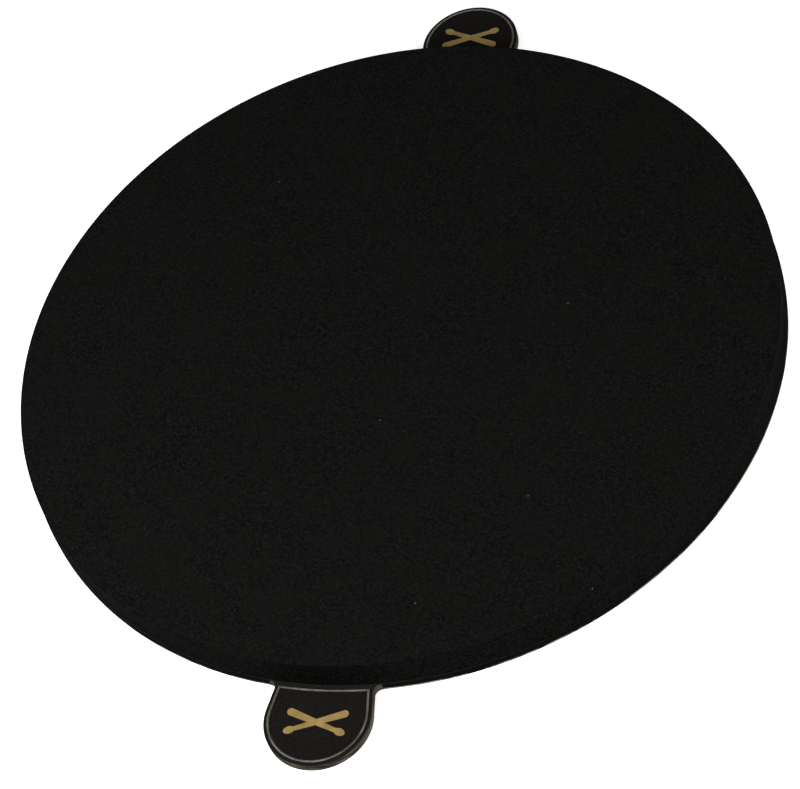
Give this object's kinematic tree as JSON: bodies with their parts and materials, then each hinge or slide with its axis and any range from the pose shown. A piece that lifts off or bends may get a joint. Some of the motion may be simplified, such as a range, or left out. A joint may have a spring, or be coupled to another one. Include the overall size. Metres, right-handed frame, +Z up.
{
  "type": "drum practice pad",
  "caption": "Round black foam drum practice pad on a thin flexible base sheet, with opposite labelled lift tabs that bend up at their roots.",
  "frame": {"origin": "centre of the underside of the base sheet", "axes": "+Z up out of the playing face, +Y from the front tab to the rear tab, +X across the pad"},
  "size_m": [0.3058, 0.373, 0.016],
  "materials": {
    "strike_face": "matte fine-grained closed-cell foam skin",
    "foam": "matte cut closed-cell foam",
    "glue_film": "thin transfer adhesive",
    "base_sheet": "matte rubber sheet with a die-cut edge",
    "label": "satin black film",
    "label_border": "silver print",
    "label_emblem": "gold print"
  },
  "bodies": {
    "pad": {"base_sheet": "base_sheet", "base_glue_film": "glue_film", "foam_core": "foam", "face_glue_film": "glue_film", "strike_face": "strike_face"},
    "front_tab": {"front_tab": "base_sheet", "front_label": "label", "front_label_border": "label_border", "front_label_emblem": "label_emblem"},
    "rear_tab": {"rear_tab": "base_sheet", "rear_label": "label", "rear_label_border": "label_border", "rear_label_emblem": "label_emblem"}
  },
  "joints": [
    {"name": "front_tab_lift", "type": "hinge", "parent": "pad", "child": "front_tab", "pos_m": [0, -0.15305, 0.00325], "axis": [-1, 0, 0], "range_deg": [0, 75], "stiffness_Nm_per_rad": 0.03},
    {"name": "rear_tab_lift", "type": "hinge", "parent": "pad", "child": "rear_tab", "pos_m": [0, 0.15305, 0.00325], "axis": [1, 0, 0], "range_deg": [0, 75], "stiffness_Nm_per_rad": 0.03}
  ]
}
